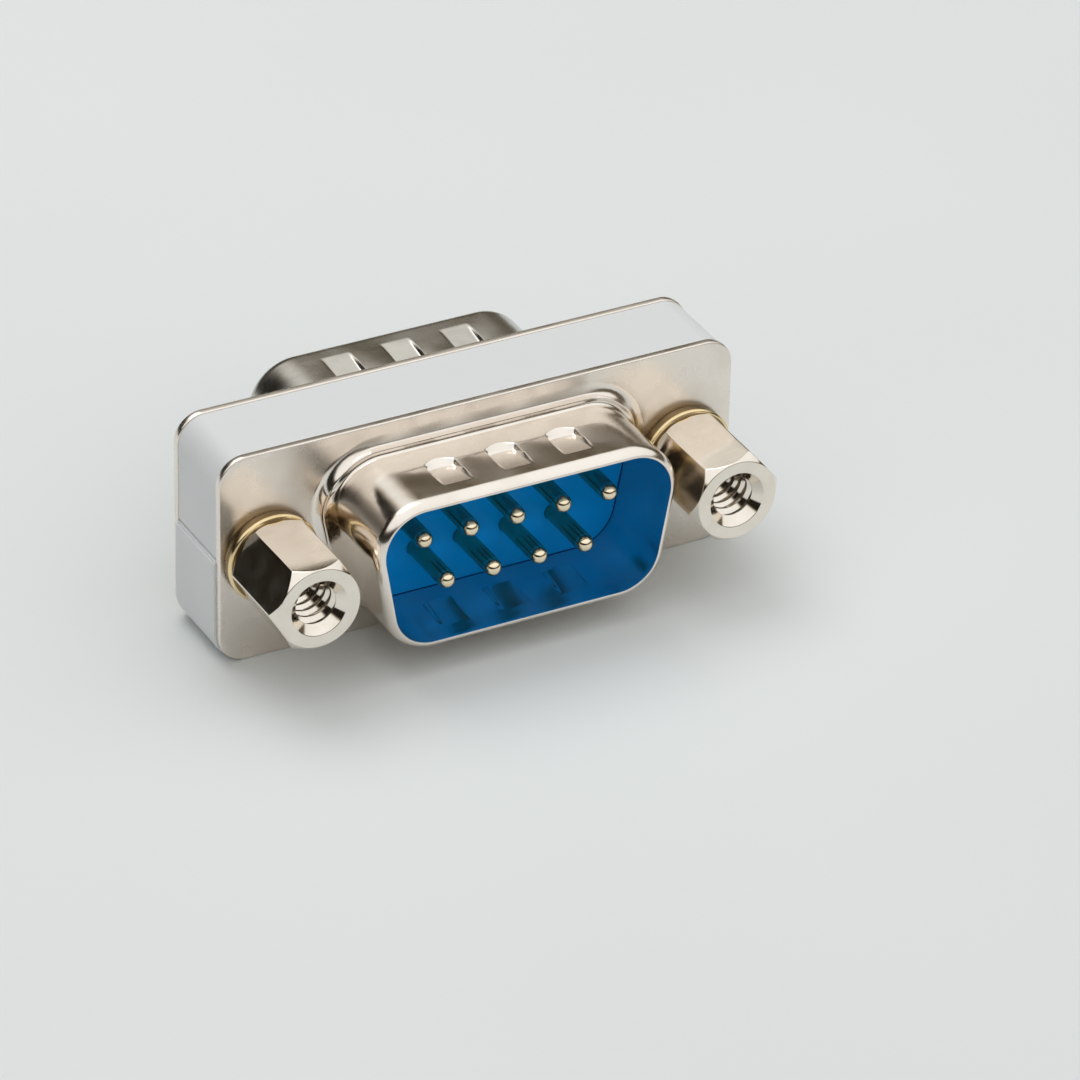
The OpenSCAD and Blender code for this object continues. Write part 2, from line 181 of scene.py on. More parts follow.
@dataclass(frozen=True)
class TurnedMetal:
    """Metal turned on a lathe and then plated.

    The tool leaves fine rings round the axis, which draw out the highlights across them.
    """

    name: str
    tint: str
    shade: str
    roughness: float
    ring_mm: float = 0.16
    ring_depth_mm: float = 0.0006
    cloud_mm: float = 0.9

    def build(self) -> bpy.types.Material:
        """Makes the material.

        Returns:
            The turned finish, with rings along the axis of the connector.
        """
        material, tree, shader = principled(self.name)
        where = add(tree, "ShaderNodeTexCoord").outputs["Object"]
        cloud = add(tree, "ShaderNodeTexNoise", {"Scale": per_mm(self.cloud_mm), "Detail": 3.0}, {"Vector": where})
        tone = add(
            tree,
            "ShaderNodeMix",
            {"data_type": "RGBA", 6: linear(self.tint), 7: linear(self.shade)},
            {0: add(tree, "ShaderNodeMapRange", {1: 0.4, 2: 0.75, 3: 0.0, 4: 0.6}, {0: cloud.outputs[0]}).outputs[0]},
        )
        rough = add(
            tree,
            "ShaderNodeMapRange",
            {1: 0.3, 2: 0.7, 3: self.roughness * 0.8, 4: self.roughness * 1.25},
            {0: cloud.outputs[0]},
        )
        stretched = add(
            tree, "ShaderNodeMapping", {"Scale": (0.02, 1.0, 0.02)}, {"Vector": where}
        )
        rings = add(
            tree,
            "ShaderNodeTexNoise",
            {"Scale": per_mm(self.ring_mm), "Detail": 2.0},
            {"Vector": stretched.outputs[0]},
        )
        bump = add(
            tree,
            "ShaderNodeBump",
            {"Strength": 1.0, "Distance": self.ring_depth_mm * MM},
            {"Height": rings.outputs[0]},
        )
        shader.inputs["Metallic"].default_value = 1.0
        tree.links.new(tone.outputs[2], shader.inputs["Base Color"])
        tree.links.new(rough.outputs[0], shader.inputs["Roughness"])
        tree.links.new(bump.outputs[0], shader.inputs["Normal"])
        return material


@dataclass(frozen=True)
class MouldedPlastic:
    """Injection-moulded plastic.

    It copies the mould's skin: an even colour, a soft sheen and a very fine orange peel.
    """

    name: str
    tint: str
    cloud: str
    roughness: float
    specular: float = 0.5
    peel_mm: float = 0.25
    peel_depth_mm: float = 0.002
    cloud_mm: float = 4.0

    def build(self) -> bpy.types.Material:
        """Makes the material.

        Returns:
            The moulded finish.
        """
        material, tree, shader = principled(self.name)
        where = add(tree, "ShaderNodeTexCoord").outputs["Object"]
        cloud = add(tree, "ShaderNodeTexNoise", {"Scale": per_mm(self.cloud_mm), "Detail": 2.0}, {"Vector": where})
        tone = add(
            tree,
            "ShaderNodeMix",
            {"data_type": "RGBA", 6: linear(self.tint), 7: linear(self.cloud)},
            {0: cloud.outputs[0]},
        )
        rough = add(
            tree,
            "ShaderNodeMapRange",
            {1: 0.3, 2: 0.7, 3: self.roughness * 0.9, 4: self.roughness * 1.15},
            {0: cloud.outputs[0]},
        )
        peel = add(tree, "ShaderNodeTexNoise", {"Scale": per_mm(self.peel_mm), "Detail": 2.0}, {"Vector": where})
        bump = add(
            tree,
            "ShaderNodeBump",
            {"Strength": 1.0, "Distance": self.peel_depth_mm * MM},
            {"Height": peel.outputs[0]},
        )
        shader.inputs["Specular IOR Level"].default_value = self.specular
        tree.links.new(tone.outputs[2], shader.inputs["Base Color"])
        tree.links.new(rough.outputs[0], shader.inputs["Roughness"])
        tree.links.new(bump.outputs[0], shader.inputs["Normal"])
        return material


@dataclass(frozen=True)
class StudioPaper:
    """Matt paper that the object stands on."""

    name: str
    tint: str

    def build(self) -> bpy.types.Material:
        """Makes the material.

        Returns:
            The paper, almost without gloss.
        """
        material, tree, shader = principled(self.name)
        where = add(tree, "ShaderNodeTexCoord").outputs["Object"]
        fibre = add(tree, "ShaderNodeTexNoise", {"Scale": per_mm(40.0), "Detail": 1.0}, {"Vector": where})
        tone = add(
            tree,
            "ShaderNodeHueSaturation",
            {"Color": linear(self.tint)},
            {"Value": add(tree, "ShaderNodeMapRange", {1: 0.3, 2: 0.7, 3: 0.99, 4: 1.01}, {0: fibre.outputs[0]}).outputs[0]},
        )
        tree.links.new(tone.outputs[0], shader.inputs["Base Color"])
        shader.inputs["Roughness"].default_value = 0.9
        shader.inputs["Specular IOR Level"].default_value = 0.1
        return material


def smooth_ramp(tree: bpy.types.NodeTree, value: Socket, start: float, end: float) -> Socket:
    """Ramps softly from 0 at the start value to 1 at the end value."""
    settings = {"interpolation_type": "SMOOTHSTEP", 1: start, 2: end, 3: 0.0, 4: 1.0}
    return add(tree, "ShaderNodeMapRange", settings, {0: value}).outputs[0]


def principled(name: str) -> tuple[bpy.types.Material, bpy.types.NodeTree, bpy.types.Node]:
    """Starts a material.

    Args:
        name: the material's name.

    Returns:
        The material, its node tree and its shader.
    """
    material = bpy.data.materials.new(name)
    material.use_nodes = True
    tree = material.node_tree
    return material, tree, next(n for n in tree.nodes if n.type == "BSDF_PRINCIPLED")


@dataclass(frozen=True)
class Finishes:
    """Every finish on the object, built once."""

    flange: bpy.types.Material
    drawn: bpy.types.Material
    drawn_dull: bpy.types.Material
    inside: bpy.types.Material
    housing: bpy.types.Material
    insulator: bpy.types.Material
    standoff: bpy.types.Material
    washer: bpy.types.Material
    washer_edge: bpy.types.Material
    sleeve: bpy.types.Material
    contact: bpy.types.Material
    shaft: bpy.types.Material
    board: bpy.types.Material

    @classmethod
    def make(cls) -> Finishes:
        """Builds all the materials.

        Returns:
            The finished set.
        """
        return cls(
            flange=NickelPlatedSteel("nickel_flange", roughness=0.28, unevenness=0.06).build(),
            drawn=NickelPlatedSteel(
                "nickel_drawn",
                roughness=0.16,
                unevenness=0.06,
                grain_depth_mm=0.001,
                wave_depth_mm=0.014,
                foot_roughness=0.14,
            ).build(),
            # The rear shell's copy of the nickel is rougher, and its darker tint paints shade on it.
            drawn_dull=NickelPlatedSteel(
                "nickel_drawn_dull",
                "#cfcbc3",
                "#aaa69e",
                roughness=0.27,
                unevenness=0.08,
                grain_depth_mm=0.001,
                wave_depth_mm=0.02,
                foot_roughness=0.08,
            ).build(),
            # A cool blue-grey copy of the nickel for the shell's inner walls: a painted reflection of the blue
            # insulator.
            inside=NickelPlatedSteel(
                "nickel_inside_painted_reflection", "#d2dadd", "#c2cbd0", roughness=0.2, unevenness=0.05, grain_depth_mm=0.001
            ).build(),
            housing=MouldedPlastic("white_moulded_abs", "#dfe1e2", "#dbddde", 0.42).build(),
            insulator=MouldedPlastic(
                "blue_moulded_polyester", "#00a0fc", "#0098f2", 0.22, specular=0.08, peel_depth_mm=0.0008
            ).build(),
            standoff=TurnedMetal("nickel_turned_steel", "#efe7dc", "#e4dbce", 0.1).build(),
            washer=TurnedMetal("passivated_spring_steel", "#8f7a5a", "#6f5b3c", 0.2).build(),
            # A much brighter copy of the washer's steel for its rounded outer edge: a painted highlight.
            washer_edge=TurnedMetal("spring_steel_painted_highlight", "#f2dcae", "#dcc08a", 0.16).build(),
            sleeve=TurnedMetal("nickel_turned_brass", "#d8cfbc", "#c4b79c", 0.22).build(),
            contact=TurnedMetal("gold_plated_contact", "#f6e8cc", "#eedcb6", 0.1).build(),
            # A darker copy of the contact gold for the shafts: painted shade, as the shafts lie in the shell's shadow.
            shaft=TurnedMetal("gold_flashed_shaft", "#c0b497", "#a5987b", 0.18).build(),
            board=MouldedPlastic("glass_fibre_board", "#2f6b46", "#3a7a50", 0.35).build(),
        )


# ---------------------------------------------------------------- mesh tools


class Facing(Enum):
    """The two ends of the object."""

    FRONT = "front"
    REAR = "rear"


@dataclass(frozen=True)
class Body:
    """Sizes that every sub-assembly shares, in millimetres."""

    front_face: float = -2.675
    rear_face: float = 2.925
    axis_height: float = 6.25
    plate: float = 0.45
    screw_x: float = 12.495

    def placement(self, facing: Facing) -> Matrix:
        """Frame of a connector, with its plane on the flange's outer face and z the way it mates.

        Args:
            facing: which end of the object.

        Returns:
            The matrix from that frame to the object's, both in millimetres.
        """
        y, turn = (self.front_face, 90) if facing is Facing.FRONT else (self.rear_face, -90)
        return Matrix.Translation((0, y, self.axis_height)) @ Matrix.Rotation(math.radians(turn), 4, "X")


BODY = Body()


def only(kind: type, geometry: Iterable[object]) -> list:
    """Picks the elements of one kind from a bmesh operator's result."""
    return [g for g in geometry if isinstance(g, kind)]


def chain(bm: bmesh.types.BMesh, points: Iterable[Sequence[float]], closed: bool = False) -> list:
    """Lays a line of edges through points.

    Args:
        bm: the mesh.
        points: the points in order.
        closed: whether the last point joins the first.

    Returns:
        The new vertices and edges.
    """
    verts = [bm.verts.new(p) for p in points]
    ends = zip(verts, verts[1:] + verts[:1] if closed else verts[1:])
    return verts + [bm.edges.new(pair) for pair in ends]


def pull(bm: bmesh.types.BMesh, geometry: list, step: Vector) -> list:
    """Extrudes a chain of edges.

    Args:
        bm: the mesh.
        geometry: the chain, as chain, pull or turn gave it.
        step: how far it goes.

    Returns:
        The chain at the far end.
    """
    made = bmesh.ops.extrude_edge_only(bm, edges=only(bmesh.types.BMEdge, geometry))["geom"]
    verts = only(bmesh.types.BMVert, made)
    bmesh.ops.translate(bm, verts=verts, vec=step)
    fresh = set(verts)
    return verts + [e for e in only(bmesh.types.BMEdge, made) if fresh.issuperset(e.verts)]


def turn(
    bm: bmesh.types.BMesh,
    geometry: list,
    degrees: float,
    steps: int,
    centre: Sequence[float] = (0, 0, 0),
    rise: float = 0.0,
) -> list:
    """Spins a chain of edges about an axis along z.

    Args:
        bm: the mesh.
        geometry: the chain.
        degrees: the whole angle; a full turn is closed.
        steps: how many steps it takes.
        centre: a point on the axis.
        rise: how far the chain climbs along z in all.

    Returns:
        The chain at the far end.
    """
    made = bmesh.ops.spin(
        bm,
        geom=geometry,
        cent=centre,
        axis=(0, 0, 1),
        dvec=(0, 0, rise / steps),
        angle=math.radians(degrees),
        steps=steps,
        use_merge=abs(degrees) == 360 and rise == 0,
    )
    return made["geom_last"]


def rounded_corners(w: float, h: float, r: float) -> list[Corner]:
    """Corners of a rectangle as centre x, centre y, first and last angle, counter-clockwise."""
    x, y = w / 2 - r, h / 2 - r
    return [(x, y, 0, 90), (-x, y, 90, 180), (-x, -y, 180, 270), (x, -y, 270, 360)]


def dee_corners(w: float, h: float, r: float, slope: float) -> list[Corner]:
    """Corners of the D outline, its long side at +y, in the same form."""
    x, y = w / 2 - r, h / 2 - r
    near = x - 2 * y * math.tan(math.radians(slope))
    return [
        (x, y, -slope, 90),
        (-x, y, 90, 180 + slope),
        (-near, -y, 180 + slope, 270),
        (near, -y, 270, 360 - slope),
    ]


def sweep(
    bm: bmesh.types.BMesh,
    profile: Sequence[Point],
    corners: Sequence[Corner],
    steps: int,
    stations: Callable[[int, float], list[float]] = lambda side, length: [length],
) -> None:
    """Runs a profile round an outline: spun at the corners and pulled along the sides.

    Args:
        bm: the mesh.
        profile: points of distance from a corner's centre and height.
        corners: the outline.
        steps: steps in each corner.
        stations: gives, for a side's number and length, the distances at which it is divided.
    """
    x, y, first, _ = corners[0]
    out = Vector((math.cos(math.radians(first)), math.sin(math.radians(first)), 0))
    here = chain(bm, [Vector((x, y, z)) + out * d for d, z in profile])
    for i, (x, y, first, last) in enumerate(corners):
        here = turn(bm, here, last - first, steps, (x, y, 0))
        following = corners[(i + 1) % len(corners)]
        along = Vector((following[0] - x, following[1] - y, 0))
        done = 0.0
        for station in stations(i, along.length):
            here = pull(bm, here, along.normalized() * (station - done))
            done = station
    bmesh.ops.remove_doubles(bm, verts=bm.verts, dist=WELD)


def fill_plane(bm: bmesh.types.BMesh, z: float) -> None:
    """Closes the open loops that lie at one height with a flat face that keeps the holes in it."""
    edges = [e for e in bm.edges if e.is_boundary and all(abs(v.co.z - z) < WELD for v in e.verts)]
    bmesh.ops.triangle_fill(bm, use_beauty=True, edges=edges, normal=(0, 0, 1))


def lathe(bm: bmesh.types.BMesh, profile: Sequence[Point], steps: int) -> None:
    """Turns a profile of radius and height into a closed solid about z."""
    turn(bm, chain(bm, [(r, 0, z) for r, z in profile]), 360, steps)
    bmesh.ops.remove_doubles(bm, verts=bm.verts, dist=WELD)


def ridge(
    bm: bmesh.types.BMesh,
    pitch: float,
    low: float,
    high: float,
    crest: float,
    root: float,
    limit: Callable[[float], float],
    steps: int = 40,
) -> None:
    """Adds the helical ridge of an internal thread.

    Args:
        bm: the mesh.
        pitch: the thread's pitch.
        low: height at which the ridge starts.
        high: height at which it ends.
        crest: radius of its crest.
        root: radius of its foot, a little inside the metal.
        limit: gives, at a height, the smallest radius that the ridge may have.
        steps: steps in each turn.
    """
    before = set(bm.verts)
    foot, tip = pitch * 0.44, pitch * 0.1
    section = [(root, 0, low - foot), (crest, 0, low - tip), (crest, 0, low + tip), (root, 0, low + foot)]
    start = chain(bm, section, closed=True)
    turns = (high - low) / pitch
    caps = [start, turn(bm, start, 360 * turns, round(steps * turns), rise=high - low)]
    for cap in caps:
        bmesh.ops.contextual_create(bm, geom=only(bmesh.types.BMEdge, cap))
    for v in set(bm.verts) - before:
        flat = Vector((v.co.x, v.co.y, 0))
        if flat.length < limit(v.co.z):
            v.co = flat.normalized() * limit(v.co.z) + Vector((0, 0, v.co.z))


@dataclass
class Piece:
    """One finished piece of the object: its mesh, its finish and what it stands for."""

    name: str
    slot: str
    replaces: Sequence[str]
    materials: Sequence[bpy.types.Material]
    sharp_degrees: float = 32.0
    bevel_mm: float = 0.0
    bevel_segments: int = 2

    def publish(self, bm: bmesh.types.BMesh, placement: Matrix) -> bpy.types.Object:
        """Makes the object, with its place in its mesh, and puts it on the frame.

        Args:
            bm: the mesh in millimetres; it is freed here.
            placement: the matrix from the mesh's frame to the object's.

        Returns:
            The new object.
        """
        bmesh.ops.remove_doubles(bm, verts=bm.verts, dist=WELD)
        bmesh.ops.recalc_face_normals(bm, faces=bm.faces)
        bmesh.ops.transform(bm, matrix=Matrix.Scale(MM, 4) @ placement, verts=bm.verts)
        if any(f.calc_area() == 0 for f in bm.faces):
            bmesh.ops.dissolve_degenerate(bm, dist=WELD * MM, edges=bm.edges)
        mesh = bpy.data.meshes.new(self.name)
        bm.to_mesh(mesh)
        open_edges = sum(e.is_boundary or not e.is_manifold for e in bm.edges)
        bm.free()
        mesh.shade_smooth()
        mesh.set_sharp_from_angle(angle=math.radians(self.sharp_degrees))
        for material in self.materials:
            mesh.materials.append(material)
        piece = bpy.data.objects.new(self.name, mesh)
        bpy.context.scene.collection.objects.link(piece)
        if self.bevel_mm:
            bevel = piece.modifiers.new("edges", "BEVEL")
            bevel.width = self.bevel_mm * MM
            bevel.segments = self.bevel_segments
            bevel.limit_method = "ANGLE"
            bevel.angle_limit = math.radians(self.sharp_degrees)
        piece.modifiers.new("normals", "WEIGHTED_NORMAL").keep_sharp = True
        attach(piece, "root")
        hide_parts(*self.replaces)
        log.info("%s: %d faces, %d open edges", self.name, len(mesh.polygons), open_edges)
        return piece


def cad_copy(node: str) -> bmesh.types.BMesh:
    """Copies a CAD node's mesh in millimetres, welded, with its flat faces whole.

    Args:
        node: the node's name.

    Returns:
        A new mesh.
    """
    bm = bmesh.new()
    bm.from_mesh(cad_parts[node].data)
    bmesh.ops.scale(bm, vec=(1 / MM,) * 3, verts=bm.verts)
    bmesh.ops.remove_doubles(bm, verts=bm.verts, dist=WELD)
    bmesh.ops.dissolve_limit(
        bm, angle_limit=math.radians(1.0), use_dissolve_boundaries=False, verts=bm.verts, edges=bm.edges
    )
    return bm


def soften(
    bm: bmesh.types.BMesh, chosen: Callable[[bmesh.types.BMEdge], bool], width: float, segments: int = 3
) -> None:
    """Bevels the convex sharp edges that a test picks.

    Args:
        bm: the mesh.
        chosen: says whether an edge is to be softened.
        width: the bevel's width.
        segments: its segments.
    """
    edges = [
        e
        for e in bm.edges
        if e.is_manifold and e.is_convex and e.calc_face_angle() > math.radians(25) and chosen(e)
    ]
    bmesh.ops.bevel(
        bm, geom=edges, offset=width, offset_type="OFFSET", affect="EDGES", segments=segments,
        profile=0.5, material=-1, clamp_overlap=True,
    )


# ---------------------------------------------------------------- the object


@dataclass
class PlugShell:
    """Flange and D-shaped shell of one plug, drawn from one sheet."""

    facing: Facing
    finishes: Finishes
    flange_w: float = 30.8
    flange_h: float = 12.5
    flange_r: float = 1.6
    hole_r: float = 1.55
    width: float = 17.15
    height: float = 8.3
    radius: float = 2.4
    wall: float = 0.4
    depth: float = 5.9
    slope: float = 10.0
    lip: float = 0.7
    lip_in: float = 0.06
    lip_thin: float = 0.26
    lip_power: float = 2.6
    step: float = 0.5
    step_w: float = 0.4
    fillet: float = 0.7
    swell: float = 0.12
    swell_power: float = 1.6
    heel: float = 0.06
    ease: float = 1.1
    dimple_xs: tuple[float, ...] = (-3.6, 0.0, 3.6)
    dimple_w: float = 1.85
    dimple_len: float = 2.2
    dimple_crescent: float = 0.45
    dimple_depth: float = 0.3
    dimple_from_mouth: float = 1.3
    dimple_side: float = 0.14
    grid: float = 0.075
    corner_steps: int = 14

    def dimple_rows(self) -> list[float]:
        """Heights at which the wall is divided, from the flange up."""
        top = self.depth - self.dimple_from_mouth + 0.1
        bottom = top - self.dimple_len - self.dimple_crescent - 0.2
        count = math.ceil((top - bottom) / self.grid)
        return [bottom + (top - bottom) * i / count for i in range(count + 1)]

    def lip_curve(self, x: float, inset: float, steps: int = 10) -> list[Point]:
        """Curve from the straight wall at distance x to the mouth, which it moves in by inset."""
        parts = [i / steps for i in range(steps + 1)]
        return [(x - inset * t**self.lip_power, self.depth - self.lip * (1 - t)) for t in parts]

    def profile(self) -> list[Point]:
        """Section of the drawn wall from the flange's face over the mouth and down inside.

        Returns:
            Points of distance from a corner's centre and height.
        """
        outer = self.radius + self.wall
        crest = outer + self.step_w
        rise = self.step - 0.03
        steepest = math.acos(1 - rise / self.fillet)
        flare = crest + 0.02 + self.fillet * math.sin(steepest)
        hollow = [
            (flare - self.fillet * math.sin(a), self.fillet - self.fillet * math.cos(a))
            for a in (steepest * i / 10 for i in range(11))
        ]
        top = [
            (crest - 0.008, self.step - 0.02),
            (crest - 0.035, self.step - 0.002),
            (crest - 0.08, self.step),
            (outer + 0.22, self.step),
            (outer + 0.13, self.step + 0.005),
            (outer + 0.07, self.step + 0.035),
            (outer + 0.02, self.step + 0.1),
            (outer, self.step + 0.2),
        ]
        rows = self.dimple_rows()
        outer_lip = self.lip_curve(outer, self.lip_in + self.lip_thin)
        inner_lip = self.lip_curve(self.radius, self.lip_in)[::-1]
        (ox, oz), (ix, iz) = outer_lip[-1], inner_lip[0]
        rim = [(ox - 0.012, oz - 0.003), (ox - 0.03, oz), (ix + 0.03, iz), (ix + 0.012, iz - 0.003)]
        outer_lip[-1] = (ox + 0.006, oz - 0.018)
        inner_lip[0] = (ix, iz - 0.018)
        walls = [(outer, z) for z in rows]
        inside = [(self.radius, z) for z in rows[::-1]] + [(self.radius, -BODY.plate)]
        return hollow + top + walls + outer_lip + rim + inner_lip + inside

    def stations(self, side: int, length: float) -> list[float]:
        """Where a side of the outline is divided: finely at the dimples, on the long walls only."""
        if side not in (0, 2):
            return [length]
        half = self.dimple_w / 2 + 0.05
        stops = []
        for centre in self.dimple_xs:
            middle = length / 2 + centre
            count = math.ceil(2 * half / self.grid)
            stops += [middle - half + 2 * half * i / count for i in range(count + 1)]
        return stops + [length]

    def dent(self, x: float, z: float) -> float:
        """How deep the wall is pressed in.

        Args:
            x: place along the long wall.
            z: height above the flange.

        Returns:
            The depth, 0 outside the dimples.
        """
        half = self.dimple_w / 2
        down = self.depth - self.dimple_from_mouth - z
        across = min(abs(x - centre) for centre in self.dimple_xs)
        if down <= 0 or across >= half:
            return 0.0
        ramp = down / self.dimple_len
        if down > self.dimple_len:
            reach = self.dimple_crescent * (1 - (across / half) ** 2) + 1e-6
            ramp = max(0.0, 1 - (down - self.dimple_len) / reach)
        side = min(1.0, (half - across) / self.dimple_side)
        return self.dimple_depth * ramp * side * side * (3 - 2 * side)

    def swollen(self, at: Vector, corners: Sequence[Corner]) -> float:
        """Height of the flare at the wall's foot, which is full at the corners and slight along the sides.

        Args:
            at: a point of the full flare.
            corners: the outline.

        Returns:
            The height that the point gets.
        """
        rise = self.step - 0.03
        reach = math.sqrt(1 - (1 - rise / self.fillet) ** 2)
        t = math.sqrt(max(0.0, 1 - (1 - at.z / self.fillet) ** 2)) / reach
        slight = self.swell * t**self.swell_power + self.heel * max(0.0, (t - 0.9) / 0.1) ** 2
        full = 0.0
        for x, y, first, last in corners:
            share = (math.degrees(math.atan2(at.y - y, at.x - x)) - first) % 360 / (last - first)
            if share < 1:
                full = math.sin(math.pi * share) ** 2
        return full * at.z + (1 - full) * slight

    def eased(self, at: Vector, corners: Sequence[Corner]) -> float:
        """Height of the step at the wall's foot, which runs out into a sweep along the two short sides.

        Args:
            at: a point of the full step.
            corners: the outline.

        Returns:
            The height that the point gets.
        """
        for i, (x, y, first, last) in enumerate(corners):
            share = (math.degrees(math.atan2(at.y - y, at.x - x)) - first) % 360 / (last - first)
            if share > 1.001:
                continue
            near = max(0.0, 2 * share - 1 if i % 2 else 1 - 2 * share)
            near = near * near * (3 - 2 * near)
            inward = max(0.0, self.wall + self.step_w - (math.hypot(at.x - x, at.y - y) - self.radius))
            sweep_up = self.swell + self.heel + self.ease * (inward / self.step_w) ** 2
            return near * sweep_up + (1 - near) * at.z
        return at.z

    def is_lining(self, at: Vector, corners: Sequence[Corner]) -> bool:
        """Says whether a face of the plain wall is on its inner side.

        Args:
            at: the face's middle, before the dimples are pressed.
            corners: the outline.

        Returns:
            True on the inner side, short of the mouth's rim.
        """
        flat = Vector((at.x, at.y, 0))
        spots = [Vector((x, y, 0)) for x, y, _, _ in corners]
        gaps = []
        for start, end in zip(spots, spots[1:] + spots[:1]):
            share = intersect_point_line(flat, start, end)[1]
            gaps.append((flat - start.lerp(end, min(1.0, max(0.0, share)))).length)
        t = max(0.0, 1 - (self.depth - at.z) / self.lip)
        middle = self.radius + self.wall / 2 - (self.lip_in + self.lip_thin / 2) * t**self.lip_power
        return min(gaps) < middle and at.z < self.depth - 0.01

    def build(self) -> None:
        """Makes the shell with its flange."""
        bm = bmesh.new()
        corners = dee_corners(self.width, self.height, self.radius, self.slope)
        sweep(bm, self.profile(), corners, self.corner_steps, self.stations)
        lining = {f for f in bm.faces if self.is_lining(f.calc_center_median(), corners)}
        for v in bm.verts:
            if 0 < v.co.z < self.step - 0.025:
                v.co.z = self.swollen(v.co, corners)
            elif self.step - 0.025 < v.co.z < self.step + 0.25:
                v.co.z = self.eased(v.co, corners)
            if v.co.z > self.step + 0.3:
                v.co.y -= math.copysign(self.dent(v.co.x, v.co.z), v.co.y)
        drawn = set(bm.faces)
        edge = [(-0.09, 0), (-0.045, -0.012), (-0.012, -0.045), (0, -0.09), (0, -0.36), (-0.03, -0.43), (-0.06, -0.45)]
        rim = [(self.flange_r + x, z) for x, z in edge]
        sweep(bm, rim, rounded_corners(self.flange_w, self.flange_h, self.flange_r), 12)
        for side in (-1, 1):
            place = Matrix.Translation((side * BODY.screw_x, 0, 0))
            ring = bmesh.ops.create_circle(bm, segments=40, radius=self.hole_r, matrix=place)["verts"]
            edges = {e for v in ring for e in v.link_edges}
            pull(bm, [*ring, *edges], Vector((0, 0, -BODY.plate)))
        fill_plane(bm, 0.0)
        fill_plane(bm, -BODY.plate)
        for face in bm.faces:
            # Faces of the inner walls take the blue-grey nickel, which paints the insulator's reflection on them.
            face.material_index = 0 if face not in drawn else 2 if face in lining else 1
        name = f"{self.facing.value}_shell"
        # The rear shell takes the darker nickel, which paints shade on it.
        outside = self.finishes.drawn if self.facing is Facing.FRONT else self.finishes.drawn_dull
        finishes = [self.finishes.flange, outside, self.finishes.inside]
        Piece(f"{name}_sheet", "nickel_sheet", [name], finishes, sharp_degrees=50).publish(
            bm, BODY.placement(self.facing)
        )


@dataclass
class Insulator:
    """Blue moulded body of one plug."""

    facing: Facing
    finishes: Finishes
    face: float = 0.75
    edge: float = 0.1

    def build(self) -> None:
        """Softens the edges of the face that shows inside the shell."""
        name = f"{self.facing.value}_insulator"
        bm = cad_copy(name)
        y = BODY.front_face - self.face if self.facing is Facing.FRONT else BODY.rear_face + self.face
        soften(bm, lambda e: all(abs(v.co.y - y) < WELD * 10 for v in e.verts), self.edge)
        Piece(f"{name}_body", "blue_insulator", [name], [self.finishes.insulator]).publish(bm, Matrix())


@dataclass
class Contacts:
    """The nine turned pins of one plug."""

    facing: Facing
    finishes: Finishes
    pin_d: float = 1.02
    pitch: float = 2.77
    row_gap: float = 2.84
    tip: float = 4.85
    nose: float = 0.6
    collar_d: float = 1.34
    collar_len: float = 0.8
    tail_d: float = 0.64
    tail_end: float = -3.5
    steps: int = 36

    def places(self) -> list[Point]:
        """Places of the contacts: five along the long side and four along the other."""
        long_row = [((k - 2) * self.pitch, self.row_gap / 2) for k in range(5)]
        return long_row + [((k - 1.5) * self.pitch, -self.row_gap / 2) for k in range(4)]

    def profile(self) -> list[Point]:
        """Section of one contact from the end of its tail to its nose."""
        r, tail, collar = self.pin_d / 2, self.tail_d / 2, self.collar_d / 2
        seat = -BODY.plate
        nose = [
            (r * math.cos(a) ** 0.9 if i < 10 else 0.0, self.tip - self.nose + self.nose * math.sin(a))
            for i, a in enumerate(math.radians(9 * i) for i in range(11))
        ]
        return [
            (0, self.tail_end),
            (tail - 0.1, self.tail_end),
            (tail, self.tail_end + 0.1),
            (tail, seat - self.collar_len),
            (collar - 0.05, seat - self.collar_len),
            (collar, seat - self.collar_len + 0.05),
            (collar, seat),
            (r, seat),
            *nose,
        ]

    def build(self) -> None:
        """Turns all nine contacts."""
        for k, (x, y) in enumerate(self.places(), start=1):
            bm = bmesh.new()
            lathe(bm, self.profile(), self.steps)
            for face in bm.faces:
                # Faces below the nose take the darker gold, which paints shade on the shafts.
                face.material_index = int(face.calc_center_median().z < self.tip - self.nose)
            name = f"{self.facing.value}_pin_{k}"
            Piece(f"{name}_turned", "gold_contact", [name], [self.finishes.contact, self.finishes.shaft]).publish(
                bm, BODY.placement(self.facing) @ Matrix.Translation((x, y, 0))
            )


@dataclass
class Housing:
    """White moulded housing in two halves."""

    finishes: Finishes
    edge: float = 0.07
    side_x: float = 15.1
    flat_z: float = 6.05
    corner: tuple[float, float] = (13.7, 4.5)

    def outside(self, v: bmesh.types.BMVert) -> bool:
        """Says whether a vertex lies on the outer skin and not in the hollow."""
        x, z = abs(v.co.x), abs(v.co.z - BODY.axis_height)
        return x > self.side_x or z > self.flat_z or (x > self.corner[0] and z > self.corner[1])

    def build(self) -> None:
        """Softens the outer edges of both halves."""
        for half in ("upper", "lower"):
            bm = cad_copy(f"housing_{half}")
            soften(bm, lambda e: all(self.outside(v) for v in e.verts), self.edge)
            Piece(
                f"housing_{half}_moulding", "white_housing", [f"housing_{half}"], [self.finishes.housing]
            ).publish(bm, Matrix())


